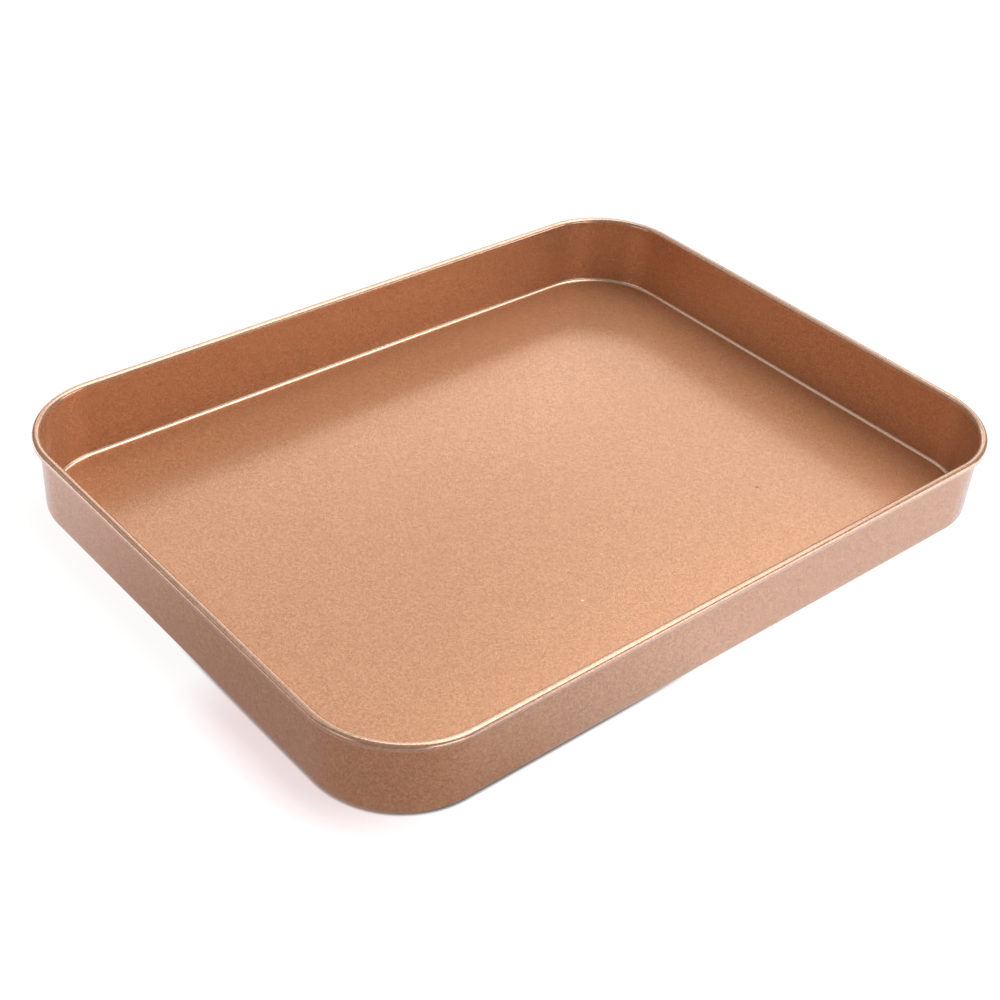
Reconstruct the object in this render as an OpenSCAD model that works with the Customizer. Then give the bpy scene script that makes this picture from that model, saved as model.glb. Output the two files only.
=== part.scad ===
// Rectangular cake pan: one pressed steel sheet whose rim is curled around a wire hoop.
// Millimetres. The origin is under the middle of the floor, X runs along the pan and Z is up.

/* [Pan] */
// Length over the rim, along X
pan_length = 245; // [200:1:360]
// Width over the rim, along Y
pan_width = 185; // [140:1:280]
// Height from the underside to the top of the rim
pan_height = 25; // [18:0.5:50]
// Radius of the rim's outer edge at each corner, seen from above
corner_radius = 29; // [22:0.5:45]

/* [Sheet] */
// Thickness of the coated steel sheet
sheet = 0.5; // [0.4:0.05:0.8]
// Inside radius of the bend between floor and wall
floor_bend = 1; // [0.8:0.1:4]
// Lean of the walls away from upright, in degrees, so that a cake slips out
wall_lean = 0.6; // [0.2:0.1:10]

/* [Rim] */
// Diameter of the stiffening wire inside the rim
wire_diameter = 1.5; // [1.2:0.1:3]
// Clearance between the wire and the curl around it
wire_clearance = 0.05; // [0.03:0.01:0.15]
// How far the curl stands in past the wall's inner face
curl_bulge = 0.05; // [0.03:0.01:0.15]
// Gap between the curl's cut edge and the wall beside it
cut_edge_gap = 0.15; // [0.05:0.05:0.4]
// Gap between the two ends of the wire
wire_end_gap = 0.8; // [0.3:0.1:3]

/* [Hidden] */

// Fineness of the round shapes
$fn = 96;
// How far a cut runs past what it cuts
overrun = 1;

// Radii of the curled rim, from its wire outward
wire_radius = wire_diameter / 2;
curl_inside = wire_radius + wire_clearance;
curl_outside = curl_inside + sheet;

// Upright axes that the corners turn around
corner_x = pan_length / 2 - corner_radius;
corner_y = pan_width / 2 - corner_radius;

// In the section of the sheet, x is the distance outward from a corner's axis and y the height.
// Middle of the curl, which is also the line of the wire
curl_middle = [corner_radius - curl_outside, pan_height - curl_outside];
// Distances of the wall's inner and outer face from the curl's middle
wall_inside = curl_outside - curl_bulge;
wall_outside = wall_inside - sheet;
// Angles at the curl's middle, from straight across the wall to where the curl ends inside the wall
// and to its cut edge
curl_root = acos(1 - curl_bulge / (curl_inside + sheet / 2));
curl_opening = acos((wall_outside - cut_edge_gap) / curl_outside);

// Middle of the bend at the foot of the wall, set so that the wall runs straight
// from the bend into the curl
bend_outside = floor_bend + sheet;
bend_rise = curl_middle[1] - bend_outside;
bend_inset = (wall_inside + floor_bend + bend_rise * sin(wall_lean)) / cos(wall_lean);
bend_middle = [curl_middle[0] - bend_inset, bend_outside];
// Length of the straight wall, from the bend to a little way into the curl
wall_run = bend_rise / cos(wall_lean) + (wall_inside + floor_bend) * tan(wall_lean) + curl_inside / 8;

// Point in the section at an angle and a distance from the origin
function polar(angle, distance) = distance * [cos(angle), sin(angle)];

// Ring as wide as the sheet is thick
module sheet_ring(inside) {
    difference() {
        circle(inside + sheet);
        circle(inside);
    }
}

// Wedge between two angles that reaches past a circle of the given radius
module wedge(from, to, radius) {
    half = (to - from) / 2;
    reach = (radius + overrun) / cos(half);
    polygon([[0, 0], polar(from, reach), polar(from + half, reach), polar(to, reach)]);
}

// Section of the sheet, from a corner's axis to the cut edge under the rim
module sheet_section() {
    square([bend_middle[0], sheet]);
    translate(bend_middle)
        intersection() {
            sheet_ring(floor_bend);
            wedge(-90, -wall_lean, bend_outside);
        }
    difference() {
        union() {
            translate(bend_middle)
                rotate(-wall_lean)
                    translate([floor_bend, 0])
                        square([sheet, wall_run]);
            translate(curl_middle)
                rotate(-wall_lean)
                    difference() {
                        circle(curl_outside);
                        wedge(curl_root - 180, curl_opening - 180, curl_outside);
                    }
        }
        translate(curl_middle)
            circle(curl_inside);
    }
}

// Carries a section once around the pan: a quarter turn at each corner
// and a straight run along each side
module around_pan() {
    for (end = [0, 1], side = [0, 1])
        mirror([end, 0, 0])
            mirror([0, side, 0])
                translate([corner_x, corner_y, 0])
                    rotate_extrude(angle = 90)
                        children();
    for (end = [0, 1])
        mirror([end, 0, 0])
            translate([corner_x, corner_y, 0])
                rotate([90, 0, 0])
                    linear_extrude(2 * corner_y)
                        children();
    for (side = [0, 1])
        mirror([0, side, 0])
            translate([-corner_x, corner_y, 0])
                rotate([90, 0, 90])
                    linear_extrude(2 * corner_x)
                        children();
}

// The pressed sheet: floor, walls and curled rim in one piece
module pan_shell() {
    color([0.79, 0.60, 0.46]) {
        around_pan() sheet_section();
        translate([-corner_x, -corner_y, 0])
            cube([2 * corner_x, 2 * corner_y, sheet]);
    }
}

// The wire hoop inside the curl, whose two ends meet in the middle of the rear side
module rim_wire() {
    color([0.62, 0.62, 0.63])
        difference() {
            around_pan() translate(curl_middle) circle(wire_radius);
            translate([-wire_end_gap / 2, corner_y, pan_height - 2 * curl_outside])
                cube([wire_end_gap, corner_radius + overrun, 2 * curl_outside]);
        }
}

pan_shell();
rim_wire();
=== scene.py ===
"""Looks of a rectangular cake pan: a pressed, coated steel sheet with its rim curled around a wire.

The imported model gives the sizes. The pressed sheet is modelled again here as one fine mesh, and the
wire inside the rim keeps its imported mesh. Lengths are in metres, X runs along the pan and Z is up.
"""
import logging
import math
from dataclasses import dataclass, field, replace
from enum import Enum
from typing import Sequence

import bpy
from mathutils import Matrix, Vector


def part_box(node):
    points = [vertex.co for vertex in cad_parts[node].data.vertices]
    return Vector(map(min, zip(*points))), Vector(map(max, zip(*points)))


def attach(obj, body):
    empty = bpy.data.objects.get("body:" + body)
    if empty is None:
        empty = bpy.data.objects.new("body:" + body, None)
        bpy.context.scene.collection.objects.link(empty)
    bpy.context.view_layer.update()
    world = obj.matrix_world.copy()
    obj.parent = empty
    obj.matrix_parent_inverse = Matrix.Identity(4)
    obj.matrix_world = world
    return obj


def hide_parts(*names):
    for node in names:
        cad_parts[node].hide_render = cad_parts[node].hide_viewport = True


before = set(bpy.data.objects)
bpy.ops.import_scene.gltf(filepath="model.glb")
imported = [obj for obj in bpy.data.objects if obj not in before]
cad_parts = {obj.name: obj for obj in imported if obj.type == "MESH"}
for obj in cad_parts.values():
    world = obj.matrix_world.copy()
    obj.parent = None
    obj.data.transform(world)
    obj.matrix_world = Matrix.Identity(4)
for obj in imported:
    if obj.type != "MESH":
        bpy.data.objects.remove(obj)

LOG = logging.getLogger("cake_pan")
MM = 0.001
Colour = tuple[float, float, float]
Point = tuple[float, float]
Range = tuple[float, float]
WHITE: Colour = (1.0, 1.0, 1.0)
MIDDLE_TONE = 0.5


class SheetFace(Enum):
    """Which finish a stretch of the sheet's section carries; the value is its material slot."""

    COATED = 0
    CUT_EDGE = 1
    RIM = 2
    FILLET = 3


def rgba(colour: Colour) -> tuple[float, float, float, float]:
    """Adds a full alpha to a colour."""
    return (*colour, 1.0)


def outward(azimuth: float, elevation: float) -> Vector:
    """Direction from the pan to a place around it.

    Args:
        azimuth: degrees around the pan, from -Y towards +X.
        elevation: degrees above the table.

    Returns:
        The direction, one unit long.
    """
    around, above = math.radians(azimuth), math.radians(elevation)
    level = math.cos(above)
    return Vector((math.sin(around) * level, -math.cos(around) * level, math.sin(above)))


class NodePlan:
    """Short forms for laying out and joining shader nodes."""

    def __init__(self, tree: bpy.types.NodeTree) -> None:
        """Starts on an emptied tree.

        Args:
            tree: the node tree to fill.
        """
        self.tree = tree
        self.tree.nodes.clear()

    def add(self, kind: str, **settings: object) -> bpy.types.Node:
        """Adds a node.

        Args:
            kind: Blender's name for the node type.
            settings: properties to set on the node.

        Returns:
            The new node.
        """
        node = self.tree.nodes.new(kind)
        for name, value in settings.items():
            setattr(node, name, value)
        return node

    def join(self, source: bpy.types.NodeSocket, target: bpy.types.NodeSocket) -> None:
        """Links one socket to another."""
        self.tree.links.new(source, target)

    def feed(self, target: bpy.types.NodeSocket, value: object) -> None:
        """Links a socket into another, or sets a plain value on it.

        Args:
            target: the input to feed.
            value: a socket, a number, or a tuple of numbers.
        """
        if isinstance(value, bpy.types.NodeSocket):
            self.join(value, target)
        else:
            target.default_value = value

    def math(self, operation: str, first: object, second: object = 0.0, third: object = 0.0,
             clamp: bool = False) -> bpy.types.NodeSocket:
        """Adds a Math node.

        Args:
            operation: the node's operation.
            first: first value or socket.
            second: second value or socket.
            third: third value or socket.
            clamp: whether the result is held between 0 and 1.

        Returns:
            The result's socket.
        """
        node = self.add("ShaderNodeMath", operation=operation, use_clamp=clamp)
        for socket, value in zip(node.inputs, (first, second, third)):
            self.feed(socket, value)
        return node.outputs[0]

    def blend(self, factor: object, first: object, second: object,
              mode: str = "MIX") -> bpy.types.NodeSocket:
        """Adds a Mix node for colours.

        Args:
            factor: share of the second colour.
            first: first colour or socket.
            second: second colour or socket.
            mode: how the two are blended.

        Returns:
            The mixed colour's socket.
        """
        node = self.add("ShaderNodeMix", data_type="RGBA", blend_type=mode)
        self.feed(node.inputs["Factor"], factor)
        self.feed(node.inputs[6], first)
        self.feed(node.inputs[7], second)
        return node.outputs[2]

    def stretch(self, value: object, low: float, high: float, to_low: float = 0.0,
                to_high: float = 1.0) -> bpy.types.NodeSocket:
        """Maps a range smoothly onto another.

        Args:
            value: the value or socket to map.
            low: where the source range starts.
            high: where the source range ends.
            to_low: result at low.
            to_high: result at high.

        Returns:
            The mapped value's socket.
        """
        node = self.add("ShaderNodeMapRange", interpolation_type="SMOOTHSTEP")
        ends = {"From Min": low, "From Max": high, "To Min": to_low, "To Max": to_high}
        for name, number in ends.items():
            node.inputs[name].default_value = number
        self.feed(node.inputs["Value"], value)
        return node.outputs["Result"]

    def noise(self, vector: object, scale: object, detail: float = 2.0,
              roughness: float = 0.5) -> bpy.types.NodeSocket:
        """Adds a Noise Texture.

        Args:
            vector: the coordinates.
            scale: features to a metre, near enough.
            detail: number of finer layers.
            roughness: weight of the finer layers.

        Returns:
            The noise value's socket.
        """
        node = self.add("ShaderNodeTexNoise")
        self.feed(node.inputs["Vector"], vector)
        self.feed(node.inputs["Scale"], scale)
        node.inputs["Detail"].default_value = detail
        node.inputs["Roughness"].default_value = roughness
        return node.outputs["Fac"]

    def cells(self, vector: object, scale: object) -> tuple[bpy.types.NodeSocket, bpy.types.Node]:
        """Adds a Voronoi Texture and splits the random colour of its cells.

        Args:
            vector: the coordinates.
            scale: cells to a metre, near enough.

        Returns:
            The distance from a cell's middle, and the node whose outputs are the cell's random
            numbers.
        """
        node = self.add("ShaderNodeTexVoronoi", feature="F1")
        self.feed(node.inputs["Vector"], vector)
        self.feed(node.inputs["Scale"], scale)
        pick = self.add("ShaderNodeSeparateColor")
        self.join(node.outputs["Color"], pick.inputs["Color"])
        return node.outputs["Distance"], pick

    def bump(self, height: bpy.types.NodeSocket, depth: float, strength: float = 1.0,
             under: bpy.types.NodeSocket | None = None) -> bpy.types.NodeSocket:
        """Adds a Bump node.

        Args:
            height: the relief, from 0 to 1.
            depth: how deep the whole relief is, in metres.
            strength: share of the relief that shows.
            under: the normal of a coarser or finer relief to lay this one on.

        Returns:
            The normal's socket.
        """
        node = self.add("ShaderNodeBump")
        node.inputs["Strength"].default_value = strength
        node.inputs["Distance"].default_value = depth
        self.join(height, node.inputs["Height"])
        if under is not None:
            self.join(under, node.inputs["Normal"])
        return node.outputs["Normal"]

    def vector_math(self, operation: str, first: bpy.types.NodeSocket,
                    second: Sequence[float] | None = None) -> bpy.types.Node:
        """Adds a Vector Math node.

        Args:
            operation: the node's operation.
            first: the first vector's socket.
            second: the second vector, where the operation takes one.

        Returns:
            The new node.
        """
        node = self.add("ShaderNodeVectorMath", operation=operation)
        self.join(first, node.inputs[0])
        if second is not None:
            node.inputs[1].default_value = second
        return node

    def choose(self, factor: bpy.types.NodeSocket, first: bpy.types.Node,
               second: bpy.types.Node) -> bpy.types.Node:
        """Adds a Mix Shader node.

        Args:
            factor: share of the second shader.
            first: first shader.
            second: second shader.

        Returns:
            The new node.
        """
        node = self.add("ShaderNodeMixShader")
        self.join(factor, node.inputs[0])
        self.join(first.outputs[0], node.inputs[1])
        self.join(second.outputs[0], node.inputs[2])
        return node


def new_group(name: str, inputs: Sequence[tuple[str, str, float]],
              outputs: Sequence[tuple[str, str]]) -> tuple[NodePlan, bpy.types.Node, bpy.types.Node]:
    """Starts a shader node group with named sockets.

    Args:
        name: the group's name.
        inputs: name, socket type and default of each input; a vector's default is not used.
        outputs: name and socket type of each output.

    Returns:
        The plan of the group's tree, its input node and its output node.
    """
    tree = bpy.data.node_groups.new(name, "ShaderNodeTree")
    for label, kind, default in inputs:
        socket = tree.interface.new_socket(label, in_out="INPUT", socket_type=kind)
        if kind == "NodeSocketFloat":
            socket.default_value = default
    for label, kind in outputs:
        tree.interface.new_socket(label, in_out="OUTPUT", socket_type=kind)
    plan = NodePlan(tree)
    return plan, plan.add("NodeGroupInput"), plan.add("NodeGroupOutput")


def fleck_group() -> bpy.types.NodeTree:
    """Builds the fine grain of a metallic coat: small flakes that catch the light unevenly.

    Returns:
        A group whose Tone is near 0.5 with the flakes about it, whose Glint picks out the few
        flakes that get a painted glint, and whose Relief is the height of the grain from 0 to 1.
    """
    plan, given, made = new_group(
        "metal_fleck",
        (("Vector", "NodeSocketVector", 0.0), ("Fleck Size", "NodeSocketFloat", 0.4 * MM),
         ("Glint Share", "NodeSocketFloat", 0.03)),
        (("Tone", "NodeSocketFloat"), ("Glint", "NodeSocketFloat"), ("Relief", "NodeSocketFloat")))
    flakes_to_grain = 1.6
    soft_share = 0.6
    glint_core, glint_rim = 0.15, 0.5
    scale = plan.math("DIVIDE", 1.0, given.outputs["Fleck Size"])
    soft = plan.noise(given.outputs["Vector"], scale, detail=1.0)
    distance, pick = plan.cells(given.outputs["Vector"], plan.math("MULTIPLY", scale, flakes_to_grain))
    tone = plan.math("ADD", plan.math("MULTIPLY", soft, soft_share),
                     plan.math("MULTIPLY", pick.outputs[0], 1 - soft_share))
    edge = plan.math("SUBTRACT", 1.0, given.outputs["Glint Share"])
    rare = plan.math("GREATER_THAN", pick.outputs[1], edge)
    near = plan.stretch(distance, glint_core, glint_rim, 1.0, 0.0)
    plan.join(tone, made.inputs["Tone"])
    plan.join(plan.math("MULTIPLY", rare, near), made.inputs["Glint"])
    plan.join(soft, made.inputs["Relief"])
    return plan.tree


def mottle_group() -> bpy.types.NodeTree:
    """Builds the slow unevenness of a sprayed or drawn surface.

    Returns:
        A group whose Value drifts between 0 and 1 over the surface.
    """
    plan, given, made = new_group(
        "surface_mottle",
        (("Vector", "NodeSocketVector", 0.0), ("Patch Size", "NodeSocketFloat", 12 * MM)),
        (("Value", "NodeSocketFloat"),))
    darkest, palest = 0.25, 0.75
    scale = plan.math("DIVIDE", 1.0, given.outputs["Patch Size"])
    drift = plan.noise(given.outputs["Vector"], scale, detail=3.0, roughness=0.45)
    plan.join(plan.stretch(drift, darkest, palest), made.inputs["Value"])
    return plan.tree


def speck_group() -> bpy.types.NodeTree:
    """Builds tiny specks that are strewn far apart, such as dust caught in a coat.

    Returns:
        A group whose Mask is 1 on a speck and 0 elsewhere.
    """
    plan, given, made = new_group(
        "strewn_specks",
        (("Vector", "NodeSocketVector", 0.0), ("Spacing", "NodeSocketFloat", 14 * MM),
         ("Speck Size", "NodeSocketFloat", 0.35 * MM), ("Share", "NodeSocketFloat", 0.4)),
        (("Mask", "NodeSocketFloat"),))
    smallest_share = 0.3
    soft_edge = 0.5
    scale = plan.math("DIVIDE", 1.0, given.outputs["Spacing"])
    distance, pick = plan.cells(given.outputs["Vector"], scale)
    kept = plan.math("LESS_THAN", pick.outputs[0], given.outputs["Share"])
    reach = plan.math("MULTIPLY", plan.math("MULTIPLY", given.outputs["Speck Size"], scale),
                      plan.math("ADD", pick.outputs[1], smallest_share))
    inside = plan.math("SUBTRACT", 1.0, plan.math("DIVIDE", distance, reach), clamp=True)
    plan.join(plan.math("MULTIPLY", kept, plan.stretch(inside, 0.0, soft_edge)), made.inputs["Mask"])
    return plan.tree


def wear_group() -> bpy.types.NodeTree:
    """Builds wear in broken patches: next to none at an Amount of 0, and more as it grows.

    Returns:
        A group whose Wear is 1 where the surface is rubbed through and 0 where it is whole.
    """
    plan, given, made = new_group(
        "rubbed_wear",
        (("Vector", "NodeSocketVector", 0.0), ("Amount", "NodeSocketFloat", 0.3),
         ("Patch Size", "NodeSocketFloat", 3 * MM)),
        (("Wear", "NodeSocketFloat"),))
    whole_level = 0.75
    soft_edge = 0.12
    scale = plan.math("DIVIDE", 1.0, given.outputs["Patch Size"])
    breaks = plan.noise(given.outputs["Vector"], scale, detail=4.0, roughness=0.6)
    level = plan.math("MULTIPLY", plan.math("SUBTRACT", 1.0, given.outputs["Amount"]), whole_level)
    above = plan.math("SUBTRACT", breaks, level)
    plan.join(plan.stretch(above, 0.0, soft_edge), made.inputs["Wear"])
    return plan.tree


@dataclass(frozen=True)
class Effects:
    """The shader groups that several finishes share."""

    fleck: bpy.types.NodeTree = field(default_factory=fleck_group)
    mottle: bpy.types.NodeTree = field(default_factory=mottle_group)
    specks: bpy.types.NodeTree = field(default_factory=speck_group)
    wear: bpy.types.NodeTree = field(default_factory=wear_group)


def place(plan: NodePlan, group: bpy.types.NodeTree, **values: object) -> bpy.types.Node:
    """Puts a group into a material.

    Args:
        plan: the material's node plan.
        group: the group to place.
        values: what to feed each input, with underscores for the spaces in its name.

    Returns:
        The group's node.
    """
    node = plan.add("ShaderNodeGroup", node_tree=group)
    for name, value in values.items():
        plan.feed(node.inputs[name.replace("_", " ").title()], value)
    return node


def new_material(name: str) -> tuple[bpy.types.Material, NodePlan]:
    """Starts a material with an empty node tree.

    Args:
        name: the material's name.

    Returns:
        The material and the plan of its tree.
    """
    material = bpy.data.materials.new(name)
    material.use_nodes = True
    return material, NodePlan(material.node_tree)


def object_place(plan: NodePlan) -> bpy.types.NodeSocket:
    """Adds coordinates that are fixed to the pan, in metres."""
    return plan.add("ShaderNodeTexCoord").outputs["Object"]


def finish_surface(plan: NodePlan, shader: bpy.types.Node) -> None:
    """Joins a shader to the material's output."""
    plan.join(shader.outputs[0], plan.add("ShaderNodeOutputMaterial").inputs["Surface"])


@dataclass(frozen=True)
class ChampagneCoat:
    """Non-stick coat of the pan: a champagne metallic with a fine grain, satin to the eye.

    It is mixed from a dark and a light tone by the grain, and carries a few flakes lightened as a
    painted glint, pale specks, one dark speck on the floor and, where wear_amount is above 0,
    rubbed patches.
    """

    name: str = "champagne_coat"
    dark_tone: Colour = (0.530, 0.252, 0.125)
    light_tone: Colour = (0.790, 0.402, 0.211)
    glint_tone: Colour = (0.950, 0.720, 0.520)
    speck_tone: Colour = (0.900, 0.720, 0.580)
    dark_speck_tone: Colour = (0.240, 0.130, 0.080)
    dark_speck_place: tuple[float, float, float] = (62.0 * MM, -41.7 * MM, 0.6 * MM)
    dark_speck_radius: float = 0.9 * MM
    dark_speck_core_share: float = 0.4
    dark_speck_strength: float = 0.8
    speck_spacing: float = 21 * MM
    speck_size: float = 0.60 * MM
    speck_share: float = 0.5
    bare_tone: Colour = (0.550, 0.500, 0.460)
    wear_amount: float = 0.0
    wear_patch: float = 2.5 * MM
    wear_strength: float = 0.35
    metallic: float = 0.45
    roughness: float = 0.28
    roughness_swing: float = 0.08
    coat_weight: float = 0.5
    coat_roughness: float = 0.18
    fleck_size: float = 0.60 * MM
    glint_share: float = 0.03
    glint_strength: float = 0.5
    grain_contrast: float = 2.65
    grain_height: float = 0.012 * MM
    mottle_share: float = 0.04
    mottle_patch: float = 16 * MM
    peel_size: float = 2.2 * MM
    peel_height: float = 0.006 * MM

    def material(self, effects: Effects) -> bpy.types.Material:
        """Builds the coat.

        Args:
            effects: the shared shader groups.

        Returns:
            The finished material.
        """
        material, plan = new_material(self.name)
        here = object_place(plan)
        fleck = place(plan, effects.fleck, vector=here, fleck_size=self.fleck_size,
                      glint_share=self.glint_share)
        swing = plan.math("SUBTRACT", fleck.outputs["Tone"], MIDDLE_TONE)
        shader = plan.add("ShaderNodeBsdfPrincipled")
        plan.join(self.colour(plan, effects, here, fleck), shader.inputs["Base Color"])
        plan.join(plan.math("MULTIPLY_ADD", swing, -self.roughness_swing, self.roughness),
                  shader.inputs["Roughness"])
        grain = plan.bump(fleck.outputs["Relief"], self.grain_height)
        peel = plan.noise(here, 1 / self.peel_size, detail=1.0)
        plan.join(plan.bump(peel, self.peel_height, under=grain), shader.inputs["Normal"])
        shader.inputs["Metallic"].default_value = self.metallic
        shader.inputs["Coat Weight"].default_value = self.coat_weight
        shader.inputs["Coat Roughness"].default_value = self.coat_roughness
        finish_surface(plan, shader)
        return material

    def colour(self, plan: NodePlan, effects: Effects, here: bpy.types.NodeSocket,
               fleck: bpy.types.Node) -> bpy.types.NodeSocket:
        """Mixes the coat's colour.

        Args:
            plan: the material's node plan.
            effects: the shared shader groups.
            here: the socket of the place on the pan.
            fleck: the node of the metallic grain.

        Returns:
            The colour's socket.
        """
        mottle = place(plan, effects.mottle, vector=here, patch_size=self.mottle_patch)
        pale = place(plan, effects.specks, vector=here, spacing=self.speck_spacing,
                     speck_size=self.speck_size, share=self.speck_share)
        wear = place(plan, effects.wear, vector=here, amount=self.wear_amount, patch_size=self.wear_patch)

        grain_tone = plan.math("MULTIPLY_ADD", fleck.outputs["Tone"], self.grain_contrast,
                               MIDDLE_TONE * (1 - self.grain_contrast))
        tone = plan.math("MULTIPLY_ADD", mottle.outputs["Value"], self.mottle_share, grain_tone)
        colour = plan.blend(tone, rgba(self.dark_tone), rgba(self.light_tone))
        # Painted glint: a few flakes are lightened towards glint_tone in the base colour.
        glint = plan.math("MULTIPLY", fleck.outputs["Glint"], self.glint_strength)
        colour = plan.blend(glint, colour, rgba(self.glint_tone))
        colour = plan.blend(pale.outputs["Mask"], colour, rgba(self.speck_tone))
        gap = plan.vector_math("DISTANCE", here, self.dark_speck_place)
        dark = plan.stretch(gap.outputs["Value"], self.dark_speck_radius * self.dark_speck_core_share,
                            self.dark_speck_radius, self.dark_speck_strength, 0.0)
        colour = plan.blend(dark, colour, rgba(self.dark_speck_tone))
        rubbed = plan.math("MULTIPLY", wear.outputs["Wear"], self.wear_strength)
        return plan.blend(rubbed, colour, rgba(self.bare_tone))


@dataclass(frozen=True)
class BareSteel:
    """Uncoated steel: the sheet's cut edge and the wire in the rim."""

    name: str
    dark_tone: Colour
    light_tone: Colour
    roughness: float
    fleck_size: float
    glint_share: float = 0.01
    mottle_share: float = 0.5
    mottle_patch: float = 4 * MM
    roughness_swing: float = 0.12
    grain_height: float = 0.01 * MM
    grain_strength: float = 0.6

    def material(self, effects: Effects) -> bpy.types.Material:
        """Builds the steel.

        Args:
            effects: the shared shader groups.

        Returns:
            The finished material.
        """
        material, plan = new_material(self.name)
        here = object_place(plan)
        fleck = place(plan, effects.fleck, vector=here, fleck_size=self.fleck_size,
                      glint_share=self.glint_share)
        mottle = place(plan, effects.mottle, vector=here, patch_size=self.mottle_patch)
        tone = plan.math("ADD", plan.math("MULTIPLY", fleck.outputs["Tone"], 1 - self.mottle_share),
                         plan.math("MULTIPLY", mottle.outputs["Value"], self.mottle_share))
        roughness = plan.math("MULTIPLY_ADD", mottle.outputs["Value"], self.roughness_swing, self.roughness)
        grain = plan.bump(fleck.outputs["Relief"], self.grain_height, self.grain_strength)
        shader = plan.add("ShaderNodeBsdfPrincipled")
        plan.join(plan.blend(tone, rgba(self.dark_tone), rgba(self.light_tone)), shader.inputs["Base Color"])
        plan.join(roughness, shader.inputs["Roughness"])
        plan.join(grain, shader.inputs["Normal"])
        shader.inputs["Metallic"].default_value = 1.0
        finish_surface(plan, shader)
        return material


BODY_COAT = ChampagneCoat()
# Painted highlight: the rim's tones are lighter and less saturated than the body coat's, so that its
# highlight lines come out paler; its light wear is real.
RIM_PAINTED_HIGHLIGHT_AND_WEAR = replace(BODY_COAT, name="champagne_rim_painted_highlight_and_wear", dark_tone=(0.570, 0.310, 0.195),
                   light_tone=(0.840, 0.510, 0.350), grain_contrast=1.8, metallic=0.6, roughness=0.20,
                   coat_weight=0.6, coat_roughness=0.10, wear_amount=0.22)
# Painted highlight: the fillet between floor and walls carries far paler tones than the body coat, so that
# it shows as a bright line all round.
FILLET_PAINTED_HIGHLIGHT = replace(BODY_COAT, name="champagne_fillet_painted_highlight", dark_tone=(0.90, 0.62, 0.44),
                      light_tone=(1.00, 0.74, 0.56), metallic=0.75, roughness=0.30)
CUT_STEEL = BareSteel("cut_steel", dark_tone=(0.28, 0.26, 0.25), light_tone=(0.46, 0.44, 0.42),
                      roughness=0.42, fleck_size=0.12 * MM)
DRAWN_WIRE = BareSteel("drawn_wire", dark_tone=(0.40, 0.40, 0.41), light_tone=(0.60, 0.60, 0.61),
                       roughness=0.30, fleck_size=0.18 * MM)


@dataclass
class MeshPlan:
    """Vertices and faces that are gathered before they become a mesh."""

    vertices: list[tuple[float, float, float]] = field(default_factory=list)
    faces: list[tuple[int, ...]] = field(default_factory=list)
    slots: list[int] = field(default_factory=list)

    def vertex(self, x: float, y: float, z: float) -> int:
        """Adds a vertex and returns its number."""
        self.vertices.append((x, y, z))
        return len(self.vertices) - 1

    def face(self, loop: Sequence[int], kind: SheetFace) -> None:
        """Adds a face without its repeated vertices, unless fewer than three are left.

        Args:
            loop: numbers of the face's vertices, in order.
            kind: the face's finish.
        """
        kept = tuple(dict.fromkeys(loop))
        if len(kept) > 2:
            self.faces.append(kept)
            self.slots.append(kind.value)

    def to_object(self, name: str, materials: Sequence[bpy.types.Material],
                  crease_angle: float) -> bpy.types.Object:
        """Makes an object with smooth faces, creased where they meet sharply.

        Args:
            name: the object's name.
            materials: the materials, in the order of the slots.
            crease_angle: faces that meet at a larger angle than this keep a sharp edge.

        Returns:
            The object.
        """
        mesh = bpy.data.meshes.new(name)
        mesh.from_pydata(self.vertices, [], self.faces)
        for material in materials:
            mesh.materials.append(material)
        mesh.polygons.foreach_set("material_index", self.slots)
        mesh.polygons.foreach_set("use_smooth", [True] * len(self.faces))
        mesh.update()
        mesh.set_sharp_from_angle(angle=crease_angle)
        made = bpy.data.objects.new(name, mesh)
        bpy.context.scene.collection.objects.link(made)
        return made


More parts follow.
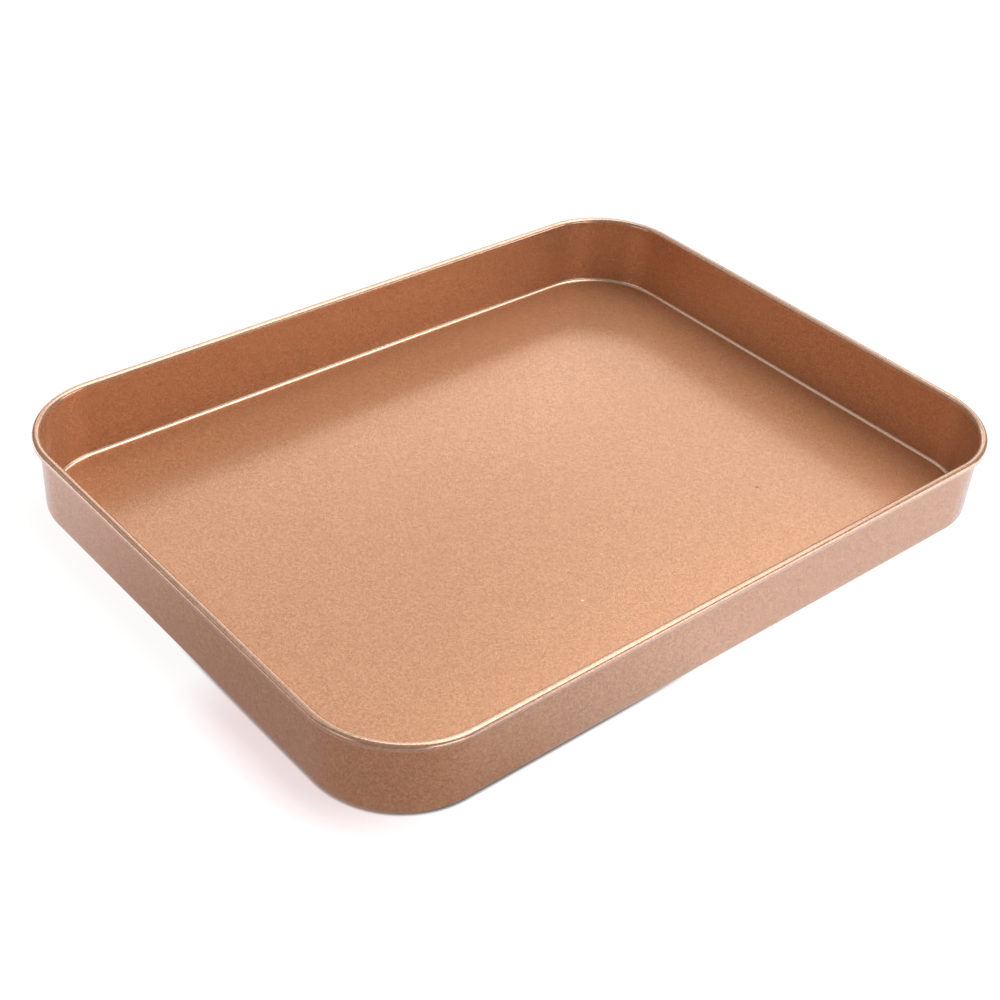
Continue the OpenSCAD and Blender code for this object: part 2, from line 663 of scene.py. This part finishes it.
@dataclass
class PressedSheet:
    """The pan's one sheet: a floor, leaning walls, round corners and a rim curled outward and down.

    In its section, the first number is the distance outward from a corner's upright axis and the
    second is the height above the surface that the pan stands on.
    """

    length: float
    width: float
    height: float
    corner_radius: float = 29.0 * MM
    thickness: float = 0.5 * MM
    floor_bend: float = 1.0 * MM
    wall_lean: float = math.radians(0.6)
    wire_diameter: float = 1.5 * MM
    wire_clearance: float = 0.05 * MM
    curl_bulge: float = 0.05 * MM
    cut_edge_gap: float = 0.15 * MM
    floor_crown: float = 0.22 * MM
    crown_fall_share: float = 0.5
    crown_edge_power: int = 4
    floor_wave: float = 0.025 * MM
    wave_reach: tuple[float, float] = (23 * MM, 19 * MM)
    wave_start: tuple[float, float] = (1.3, -0.4)
    flat_tolerance: float = 0.001 * MM
    crease_angle: float = math.radians(50)
    corner_steps: int = 28
    side_step: float = 3.5 * MM
    bend_steps: int = 8
    curl_steps: int = 30
    wall_steps: int = 8
    ledge_steps: int = 8

    def __post_init__(self) -> None:
        """Works out the middles and radii of the bends."""
        self.curl_inside = self.wire_diameter / 2 + self.wire_clearance
        self.curl_outside = self.curl_inside + self.thickness
        self.curl_middle = (self.corner_radius - self.curl_outside, self.height - self.curl_outside)
        self.bend_outside = self.floor_bend + self.thickness
        wall_inside = self.curl_outside - self.curl_bulge
        wall_outside = wall_inside - self.thickness
        rise = self.curl_middle[1] - self.bend_outside
        inset = wall_inside + self.floor_bend + rise * math.sin(self.wall_lean)
        self.bend_middle = (self.curl_middle[0] - inset / math.cos(self.wall_lean), self.bend_outside)
        self.curl_start = math.pi + math.acos(wall_inside / self.curl_outside) - self.wall_lean
        self.curl_root = math.pi + math.acos(wall_outside / self.curl_inside) - self.wall_lean
        opening = math.acos((wall_outside - self.cut_edge_gap) / self.curl_outside)
        self.curl_end = opening - math.pi - self.wall_lean

    @staticmethod
    def arc(middle: Point, radius: float, start: float, end: float, steps: int) -> list[Point]:
        """Points of an arc.

        Args:
            middle: the arc's middle.
            radius: the arc's radius.
            start: angle of the first point.
            end: angle of the last point.
            steps: number of stretches between the points.

        Returns:
            The points, both ends included.
        """
        angles = [start + (end - start) * i / steps for i in range(steps + 1)]
        return [(middle[0] + radius * math.cos(a), middle[1] + radius * math.sin(a)) for a in angles]

    @staticmethod
    def between(first: Point, last: Point, steps: int) -> list[Point]:
        """Points that divide a straight stretch, without its two ends."""
        shares = [i / steps for i in range(1, steps)]
        return [(first[0] + (last[0] - first[0]) * s, first[1] + (last[1] - first[1]) * s) for s in shares]

    def section(self) -> tuple[list[Point], list[SheetFace]]:
        """Outline of the sheet, from the corner's axis over the inside and back under the outside.

        Returns:
            The points, and the finish of each stretch after a point.
        """
        down, level = -math.pi / 2, -self.wall_lean
        start, end, root = self.curl_start, self.curl_end, self.curl_root
        inner_bend = self.arc(self.bend_middle, self.floor_bend, down, level, self.bend_steps)
        curl_top = self.arc(self.curl_middle, self.curl_outside, start, end, self.curl_steps)
        curl_under = self.arc(self.curl_middle, self.curl_inside, end, root, self.curl_steps)
        outer_bend = self.arc(self.bend_middle, self.bend_outside, level, down, self.bend_steps)
        ledge_in = self.between((0.0, self.thickness), inner_bend[0], self.ledge_steps)
        ledge_out = self.between(outer_bend[-1], (0.0, 0.0), self.ledge_steps)
        wall_in = self.between(inner_bend[-1], curl_top[0], self.wall_steps)
        wall_out = self.between(curl_under[-1], outer_bend[0], self.wall_steps)
        parts = (ledge_in, inner_bend, wall_in, curl_top, curl_under, wall_out, outer_bend, ledge_out)
        points = [p for part in parts for p in part]
        curl = len(ledge_in) + len(inner_bend) + len(wall_in)
        cut = curl + len(curl_top) - 1
        # The curl's top takes the rim coat, lightened as a painted highlight.
        faces = [SheetFace.RIM if curl <= i < cut else SheetFace.COATED for i in range(len(points))]
        faces[cut] = SheetFace.CUT_EDGE
        # The middle of the inner bend takes the fillet coat, whose pale tones are a painted highlight line.
        foot = len(ledge_in)
        faces[foot + 1:foot + self.bend_steps - 1] = [SheetFace.FILLET] * (self.bend_steps - 2)
        return points, faces

    def floor_lift(self, x: float, y: float) -> float:
        """How far the floor stands above flat: a slight crown and slower waves, nothing at its edge.

        Args:
            x: place along the pan.
            y: place across the pan.

        Returns:
            The lift.
        """
        rim_to_bend = self.corner_radius - self.bend_middle[0]
        u = min(1.0, abs(x) / (self.length / 2 - rim_to_bend))
        v = min(1.0, abs(y) / (self.width / 2 - rim_to_bend))
        inner = (1 - u ** self.crown_edge_power) * (1 - v ** self.crown_edge_power)
        wave = (math.sin(x / self.wave_reach[0] + self.wave_start[0])
                * math.cos(y / self.wave_reach[1] + self.wave_start[1]))
        crown = self.floor_crown * (1 - self.crown_fall_share * (u * u + v * v))
        return inner * (crown + self.floor_wave * (1 + wave))

    def build(self, materials: Sequence[bpy.types.Material]) -> bpy.types.Object:
        """Sweeps the section once around the pan and closes the floor.

        Args:
            materials: one for each SheetFace, in the order of their values.

        Returns:
            The pressed sheet.
        """
        xs = self.grid_line(self.length / 2 - self.corner_radius)
        ys = self.grid_line(self.width / 2 - self.corner_radius)
        stations = self.stations(len(xs) - 1, len(ys) - 1)
        points, kinds = self.section()
        plan = MeshPlan()
        top, under = self.floor(plan, xs, ys)
        rings = [[top[i][j] for i, j, _ in stations]]
        rings += [[self.rim_vertex(plan, point, xs[i], ys[j], angle) for i, j, angle in stations]
                  for point in points]
        rings.append([under[i][j] for i, j, _ in stations])
        for kind, here, there in zip([SheetFace.COATED] + kinds, rings, rings[1:]):
            for near in range(len(stations)):
                far = (near + 1) % len(stations)
                plan.face((here[near], there[near], there[far], here[far]), kind)
        return plan.to_object("pressed_sheet", materials, self.crease_angle)

    def grid_line(self, half: float) -> list[float]:
        """Evenly spaced places from one corner's axis to the next, about side_step apart."""
        count = max(2, round(2 * half / self.side_step))
        return [-half + 2 * half * i / count for i in range(count + 1)]

    def floor(self, plan: MeshPlan, xs: Sequence[float],
              ys: Sequence[float]) -> tuple[list[list[int]], list[list[int]]]:
        """Adds the two faces of the floor between the corners' axes.

        Args:
            plan: the mesh to add to.
            xs: the grid's places along the pan.
            ys: the grid's places across the pan.

        Returns:
            The numbers of the vertices on the floor's upper face and on its underside.
        """
        top = [[plan.vertex(x, y, self.thickness + self.floor_lift(x, y)) for y in ys] for x in xs]
        under = [[plan.vertex(x, y, self.floor_lift(x, y)) for y in ys] for x in xs]
        for i in range(len(xs) - 1):
            for j in range(len(ys) - 1):
                plan.face((top[i][j], top[i + 1][j], top[i + 1][j + 1], top[i][j + 1]), SheetFace.COATED)
                plan.face((under[i][j], under[i][j + 1], under[i + 1][j + 1], under[i + 1][j]),
                          SheetFace.COATED)
        return top, under

    def rim_vertex(self, plan: MeshPlan, point: Point, axis_x: float, axis_y: float, angle: float) -> int:
        """Adds one point of the section where it stands around the pan.

        Args:
            plan: the mesh to add to.
            point: the point of the section.
            axis_x: place of the upright axis that the section turns about, along the pan.
            axis_y: place of that axis across the pan.
            angle: direction that the section faces.

        Returns:
            The vertex's number.
        """
        out, z = point
        x = axis_x + out * math.cos(angle)
        y = axis_y + out * math.sin(angle)
        on_floor = z <= self.thickness + self.flat_tolerance and out <= self.bend_middle[0]
        return plan.vertex(x, y, z + (self.floor_lift(x, y) if on_floor else 0.0))

    def stations(self, count_x: int, count_y: int) -> list[tuple[int, int, float]]:
        """Places around the pan where the section stands.

        Args:
            count_x: stretches of the floor's grid along X.
            count_y: stretches of the floor's grid along Y.

        Returns:
            The grid column and row that each place turns about, and the direction it faces.
        """
        quarter = math.pi / 2
        axes = ((count_x, count_y), (0, count_y), (0, 0), (count_x, 0))
        places: list[tuple[int, int, float]] = []
        for turn, (i, j) in enumerate(axes):
            next_i, next_j = axes[(turn + 1) % len(axes)]
            for step in range(self.corner_steps + 1):
                places.append((i, j, quarter * (turn + step / self.corner_steps)))
            steps = abs(next_i - i) + abs(next_j - j)
            for step in range(1, steps):
                along_i = i + (next_i - i) * step // steps
                along_j = j + (next_j - j) * step // steps
                places.append((along_i, along_j, quarter * (turn + 1)))
        return places


@dataclass
class CakePan:
    """The whole pan: the pressed sheet and the wire in its rim."""

    effects: Effects

    def build(self) -> list[bpy.types.Object]:
        """Builds and dresses the pieces.

        Returns:
            The pieces that show.
        """
        low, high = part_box("pan_shell")
        size = high - low
        finishes = (BODY_COAT, CUT_STEEL, RIM_PAINTED_HIGHLIGHT_AND_WEAR, FILLET_PAINTED_HIGHLIGHT)
        materials = [finish.material(self.effects) for finish in finishes]
        sheet = PressedSheet(size.x, size.y, size.z).build(materials)
        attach(sheet, "root")
        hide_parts("pan_shell")

        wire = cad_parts["rim_wire"]
        wire.data.materials.clear()
        wire.data.materials.append(DRAWN_WIRE.material(self.effects))
        return [sheet, wire]


@dataclass(frozen=True)
class PhotoView:
    """Where the camera stands, as measured from the outlines of the pan in the picture.

    Its angles are in degrees, and its azimuth runs from -Y towards +X.
    """

    azimuth: float = -42.756
    elevation: float = 36.021
    roll: float = 4.510
    distance: float = 521.001 * MM
    target: tuple[float, float, float] = (-7.154 * MM, -0.159 * MM, 0.0)
    focal_pixels: float = 1725.534
    picture_pixels: float = 1000.0
    sensor: float = 36.0
    near_clip: float = 10 * MM

    def build(self) -> bpy.types.Object:
        """Makes the camera and sets it as the scene's own.

        Returns:
            The camera.
        """
        tilt = math.radians(self.roll)
        back = outward(self.azimuth, self.elevation)
        side = (-back).cross(Vector((0, 0, 1))).normalized()
        upward = side.cross(-back)
        right = side * math.cos(tilt) + upward * math.sin(tilt)
        up = upward * math.cos(tilt) - side * math.sin(tilt)
        data = bpy.data.cameras.new("photo_view")
        data.sensor_width = self.sensor
        data.lens = self.sensor * self.focal_pixels / self.picture_pixels
        data.clip_start = self.near_clip
        camera = bpy.data.objects.new("photo_view", data)
        turn = Matrix((right, up, back)).transposed().to_4x4()
        camera.matrix_world = Matrix.Translation(Vector(self.target) + back * self.distance) @ turn
        bpy.context.scene.collection.objects.link(camera)
        bpy.context.scene.camera = camera
        return camera


@dataclass(frozen=True)
class Softbox:
    """A studio lamp that faces the pan.

    Its azimuth runs from -Y towards +X. Its width and height are the angles that it fills as seen
    from the pan. All angles are in degrees. Its glow is how bright its face is, with white at 1.
    """

    azimuth: float
    elevation: float
    glow: float
    wide: float = 30.0
    high: float = 20.0
    distance: float = 3.0

    def build(self) -> bpy.types.Object:
        """Hangs the lamp and turns it to the middle of the pan.

        Returns:
            The lamp.
        """
        away = outward(self.azimuth, self.elevation)
        name = f"softbox_{self.azimuth:.0f}_{self.elevation:.0f}"
        data = bpy.data.lights.new(name, "AREA")
        data.shape = "RECTANGLE"
        data.size = 2 * self.distance * math.tan(math.radians(self.wide) / 2)
        data.size_y = 2 * self.distance * math.tan(math.radians(self.high) / 2)
        data.energy = self.glow * math.pi * data.size * data.size_y
        lamp = bpy.data.objects.new(name, data)
        lamp.location = away * self.distance
        lamp.rotation_mode = "QUATERNION"
        lamp.rotation_quaternion = away.to_track_quat("Z", "Y")
        bpy.context.scene.collection.objects.link(lamp)
        return lamp


SOFTBOXES = (
    Softbox(46.0, 13.0, 2.2, wide=30.0),
    Softbox(40.0, 60.0, 1.8, high=30.0),
    Softbox(90.0, 66.0, 2.1, wide=50.0, high=40.0),
    Softbox(137.0, 62.0, 0.57, wide=60.0, high=50.0),
    Softbox(120.0, 45.0, 0.4, wide=21.0),
    Softbox(-135.0, 38.0, 0.45, wide=24.0, high=40.0),
    Softbox(120.0, 25.0, 1.2, wide=27.0),
    Softbox(150.0, 25.0, 1.5, wide=27.0),
    Softbox(-90.0, 14.0, 1.1, wide=24.0),
    Softbox(0.0, 10.0, 2.8, wide=26.0, high=16.0),
)


@dataclass(frozen=True)
class Studio:
    """The pale table, the world around it and the lamps.

    The camera sees the table as nearly white, with a partly painted shadow of the pan on it. To the
    pan itself the table is a glowing surface of painted light: dim on the side that shade_turn names
    and brighter around the rest. A turn is a direction from the pan's middle, in degrees from -Y
    towards +X, and a range is where a change starts and ends.
    """

    table_side: float = 12.0
    table_drop: float = 0.02 * MM
    clear_tone: Colour = (0.22, 0.22, 0.22)
    clear_glow: Colour = (0.91, 0.905, 0.905)
    shadow_tone: Colour = (0.85, 0.85, 0.85)
    shadow_glow: Colour = (0.60, 0.52, 0.54)
    shadow_turn: float = -66.0
    shadow_range: Range = (0.945, 0.995)
    contact_shadow_turn: float = -50.0
    contact_shadow_range: Range = (0.75, 0.97)
    contact_shadow_reach: float = 0.9 * MM
    contact_shadow_strength: float = 2.2
    contact_shadow_samples: int = 4
    shade_turn: float = -60.0
    shade_range: Range = (0.25, 1.0)
    lit_light: float = 1.03
    shaded_light: float = 0.41
    far_light: float = 1.12
    far_range: Range = (0.5, 1.0)
    far_reach: Range = (0.15, 0.24)
    front_turn: float = -16.0
    front_range: Range = (0.88, 1.0)
    front_light: float = 0.25
    back_range: Range = (-0.95, -0.5)
    back_share: float = 0.35
    lit_tint: Colour = (0.94, 1.00, 1.12)
    shaded_tint: Colour = (1.09, 0.94, 0.92)
    base_half: tuple[float, float] = (118.0 * MM, 88.0 * MM)
    base_squareness: float = 6.0
    base_range: Range = (0.8, 1.0)
    beneath_light: float = 0.85
    world_light: float = 0.20

    def build(self) -> None:
        """Makes the table, the world and the lamps."""
        self.table()
        self.world()
        for softbox in SOFTBOXES:
            softbox.build()

    @staticmethod
    def facing(plan: NodePlan, turn: float) -> bpy.types.NodeSocket:
        """Adds the cosine between a place's direction from the pan's middle and a set direction.

        Args:
            plan: the table's node plan.
            turn: the set direction, in degrees from -Y towards +X.

        Returns:
            The cosine's socket.
        """
        toward = plan.vector_math("NORMALIZE", object_place(plan))
        along = plan.vector_math("DOT_PRODUCT", toward.outputs["Vector"], outward(turn, 0.0))
        return along.outputs["Value"]

    def table_light(self, plan: NodePlan) -> tuple[bpy.types.NodeSocket, bpy.types.NodeSocket]:
        """Adds the painted light that the table gives the pan, by place on the table.

        Args:
            plan: the table's node plan.

        Returns:
            The sockets of the light's strength and of its tint.
        """
        shade = self.facing(plan, self.shade_turn)
        reach = plan.vector_math("LENGTH", object_place(plan)).outputs["Value"]
        front = plan.stretch(self.facing(plan, self.front_turn), *self.front_range)
        level = plan.stretch(shade, *self.shade_range, self.lit_light, self.shaded_light)
        near = plan.math("MULTIPLY_ADD", front, self.front_light, level)
        beyond = plan.math("MULTIPLY", plan.stretch(reach, *self.far_reach),
                           plan.stretch(shade, *self.far_range, self.far_light, 0.0))
        behind = plan.stretch(shade, *self.back_range, self.back_share, 1.0)
        around = plan.math("MULTIPLY", plan.math("ADD", near, beyond), behind)
        warm = plan.math("SUBTRACT", plan.stretch(shade, *self.shade_range), front, clamp=True)
        tint = plan.blend(warm, rgba(self.lit_tint), rgba(self.shaded_tint))
        beneath = self.beneath(plan)
        even = plan.math("SUBTRACT", self.beneath_light, around)
        strength = plan.math("MULTIPLY_ADD", beneath, even, around)
        return strength, plan.blend(beneath, tint, rgba(WHITE))

    def beneath(self, plan: NodePlan) -> bpy.types.NodeSocket:
        """Adds a mask that is 1 beneath the pan's flat underside and 0 around it.

        Args:
            plan: the table's node plan.

        Returns:
            The mask's socket.
        """
        split = plan.add("ShaderNodeSeparateXYZ")
        plan.join(object_place(plan), split.inputs[0])
        shares = [plan.math("ABSOLUTE", plan.math("DIVIDE", split.outputs[i], half))
                  for i, half in enumerate(self.base_half)]
        powers = [plan.math("POWER", share, self.base_squareness) for share in shares]
        return plan.stretch(plan.math("ADD", *powers), *self.base_range, 1.0, 0.0)

    def seen_table(self, plan: NodePlan) -> bpy.types.Node:
        """Adds the table as the camera sees it: nearly white, with a partly painted shadow of the pan.

        Args:
            plan: the table's node plan.

        Returns:
            The shader's node.
        """
        # Painted shadow: towards the shadow turn the glow dims and the cloth shows more cast shadow.
        shaded = plan.stretch(self.facing(plan, self.shadow_turn), *self.shadow_range)
        cloth = plan.add("ShaderNodeBsdfDiffuse")
        plan.join(plan.blend(shaded, rgba(self.clear_tone), rgba(self.shadow_tone)), cloth.inputs["Color"])
        # Painted contact shadow: occlusion dims the glow by the pan's foot, on one side only.
        contact = plan.add("ShaderNodeAmbientOcclusion", samples=self.contact_shadow_samples)
        contact.inputs["Distance"].default_value = self.contact_shadow_reach
        pressed = plan.stretch(self.facing(plan, self.contact_shadow_turn), *self.contact_shadow_range,
                               0.0, self.contact_shadow_strength)
        glow = plan.add("ShaderNodeEmission")
        plan.join(plan.blend(shaded, rgba(self.clear_glow), rgba(self.shadow_glow)), glow.inputs["Color"])
        plan.join(plan.math("POWER", contact.outputs["AO"], pressed), glow.inputs["Strength"])
        seen = plan.add("ShaderNodeAddShader")
        plan.join(cloth.outputs[0], seen.inputs[0])
        plan.join(glow.outputs[0], seen.inputs[1])
        return seen

    def table(self) -> bpy.types.Object:
        """Makes the table that the pan stands on, which is clear from below.

        Returns:
            The table.
        """
        material, plan = new_material("pale_table")
        seen = self.seen_table(plan)
        strength, tint = self.table_light(plan)
        # Painted light: to all rays but the camera's, the table glows by place instead of being lit.
        painted_table_glow = plan.add("ShaderNodeEmission")
        plan.join(strength, painted_table_glow.inputs["Strength"])
        plan.join(tint, painted_table_glow.inputs["Color"])
        from_camera = plan.add("ShaderNodeLightPath").outputs["Is Camera Ray"]
        from_below = plan.add("ShaderNodeNewGeometry").outputs["Backfacing"]
        above = plan.choose(from_camera, painted_table_glow, seen)
        finish_surface(plan, plan.choose(from_below, above, plan.add("ShaderNodeBsdfTransparent")))

        half = self.table_side / 2
        edges = ((-half, -half), (half, -half), (half, half), (-half, half))
        mesh = bpy.data.meshes.new("table")
        mesh.from_pydata([(x, y, -self.table_drop) for x, y in edges], [], [(0, 1, 2, 3)])
        mesh.materials.append(material)
        table = bpy.data.objects.new("table", mesh)
        bpy.context.scene.collection.objects.link(table)
        return table

    def world(self) -> None:
        """Makes the plain world, which is white where it is seen and softer where it lights."""
        world = bpy.data.worlds.new("studio")
        bpy.context.scene.world = world
        world.use_nodes = True
        plan = NodePlan(world.node_tree)
        shown, light = plan.add("ShaderNodeBackground"), plan.add("ShaderNodeBackground")
        for background, strength in ((shown, 1.0), (light, self.world_light)):
            background.inputs["Color"].default_value = rgba(WHITE)
            background.inputs["Strength"].default_value = strength
        from_camera = plan.add("ShaderNodeLightPath").outputs["Is Camera Ray"]
        either = plan.choose(from_camera, light, shown)
        plan.join(either.outputs[0], plan.add("ShaderNodeOutputWorld").inputs["Surface"])


def main() -> None:
    """Builds the camera, the pan and the studio, and reports each piece."""
    logging.basicConfig(level=logging.INFO, format="%(name)s: %(message)s")
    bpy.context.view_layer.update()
    PhotoView().build()
    for piece in CakePan(Effects()).build():
        LOG.info("%s: %d faces, %s", piece.name, len(piece.data.polygons),
                 ", ".join(m.name for m in piece.data.materials))
    Studio().build()
    bpy.context.scene.view_settings.view_transform = "Standard"


if __name__ == "__main__":
    main()
